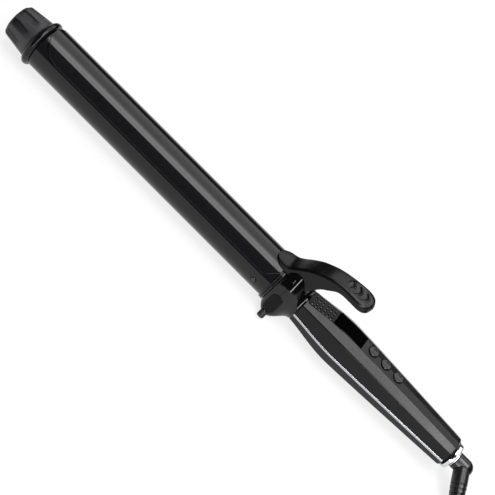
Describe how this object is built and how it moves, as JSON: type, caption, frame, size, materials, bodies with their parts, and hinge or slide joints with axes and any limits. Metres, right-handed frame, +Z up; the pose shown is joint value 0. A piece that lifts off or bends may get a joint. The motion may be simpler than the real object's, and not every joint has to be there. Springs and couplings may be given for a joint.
{
  "type": "curling iron",
  "caption": "Long-barrel curling iron with a spring clamp and thumb lever, faceted handle with display and buttons, stand feet and a swivel cord in a tied hank.",
  "frame": {"origin": "on the surface the iron lies on, under the middle of the tool from cool tip to swivel elbow, without its cord", "axes": "+X from the cool tip to the cord along the barrel, +Z up on the lever side, -Y towards the side the cord lies on"},
  "size_m": [0.6442, 0.0845, 0.0614],
  "materials": {
    "cap_satin": "satin black moulded heat-resistant plastic",
    "ring_gloss": "glossy black",
    "insulator": "pale heat-resistant insulator",
    "barrel_coat": "glossy dark ceramic coating with a fine speckle",
    "clamp_coat": "glossy dark ceramic coating",
    "spreader": "cast",
    "brass": "plain",
    "plain_steel": "plated steel",
    "dark_steel": "blackened steel",
    "lever_satin": "satin black",
    "pad_rubber": "textured soft-touch black",
    "collar_gloss": "glossy black",
    "hub_gloss": "glossy to satin black",
    "badge_plate": "dark grey plate, bare",
    "foot_rubber": "black",
    "handle_satin": "smooth satin black",
    "trim_chrome": "polished",
    "grip_soft": "matte black with raised dots",
    "lens_black": "mirror-smooth black window",
    "module_dark": "dark casing",
    "board_green": "solder-masked board",
    "button_gloss": "glossy black, domed",
    "lead_red": "silicone-covered wire",
    "collar_chrome": "polished",
    "elbow_gloss": "glossy black",
    "boot_rubber": "soft black",
    "cord_black": "soft black jacket",
    "tie_black": "flat strap",
    "plug_black": "moulded black"
  },
  "bodies": {
    "base": {"tip_cap": "cap_satin", "tip_ring": "ring_gloss", "tip_plug": "insulator", "barrel_tube": "barrel_coat", "heat_spreader_upper": "spreader", "heat_spreader_lower": "spreader", "heater_plate": "insulator", "temperature_sensor": "brass", "thermal_fuse": "plain_steel", "barrel_carrier": "insulator", "barrel_screw_left": "dark_steel", "barrel_screw_right": "dark_steel", "barrel_collar": "collar_gloss", "hub_front": "hub_gloss", "hub_rear": "hub_gloss", "hinge_pin": "plain_steel", "clamp_spring": "plain_steel", "badge_left": "badge_plate", "badge_right": "badge_plate", "foot_left": "foot_rubber", "foot_right": "foot_rubber", "handle_upper": "handle_satin", "handle_lower": "handle_satin", "trim_left": "trim_chrome", "trim_right": "trim_chrome", "grip_panel": "grip_soft", "handle_screw_1": "dark_steel", "handle_screw_2": "dark_steel", "display_lens": "lens_black", "display_module": "module_dark", "control_board": "board_green", "power_board": "board_green", "power_module": "module_dark", "switch_power": "plain_steel", "switch_minus": "plain_steel", "switch_plus": "plain_steel", "heater_lead_left": "lead_red", "heater_lead_right": "lead_red", "end_collar": "collar_chrome", "swivel_washer": "collar_chrome"},
    "clamp_arm": {"clamp_plate": "clamp_coat", "clamp_bracket": "plain_steel", "clamp_rivet_left": "plain_steel", "clamp_rivet_right": "plain_steel", "lever": "lever_satin", "lever_pad": "pad_rubber"},
    "power_button": {"button_power": "button_gloss"},
    "minus_button": {"button_minus": "button_gloss"},
    "plus_button": {"button_plus": "button_gloss"},
    "swivel": {"swivel_elbow": "elbow_gloss", "swivel_clip": "plain_steel", "cord_boot": "boot_rubber", "cord_run": "cord_black", "cord_hank": "cord_black", "cord_tail": "cord_black", "cord_tie": "tie_black", "plug_body": "plug_black", "plug_blade_left": "brass", "plug_blade_right": "brass"}
  },
  "joints": [
    {"name": "clamp_hinge", "type": "hinge", "parent": "base", "child": "clamp_arm", "pos_m": [0.0403, 0, 0.0363], "axis": [0, 1, 0], "range_deg": [0, 22], "stiffness_Nm_per_rad": 0.3, "springref_deg": -34.38},
    {"name": "power_press", "type": "slide", "parent": "base", "child": "power_button", "axis": [0, 0, -1], "range_m": [0, 0.0007], "stiffness_N_per_m": 400, "springref_m": -0.002},
    {"name": "minus_press", "type": "slide", "parent": "base", "child": "minus_button", "axis": [0, 0, -1], "range_m": [0, 0.0007], "stiffness_N_per_m": 400, "springref_m": -0.002},
    {"name": "plus_press", "type": "slide", "parent": "base", "child": "plus_button", "axis": [0, 0, -1], "range_m": [0, 0.0007], "stiffness_N_per_m": 400, "springref_m": -0.002},
    {"name": "cord_swivel", "type": "hinge", "parent": "base", "child": "swivel", "pos_m": [0.2117, 0, 0.0173], "axis": [1, 0, 0], "continuous": true}
  ]
}
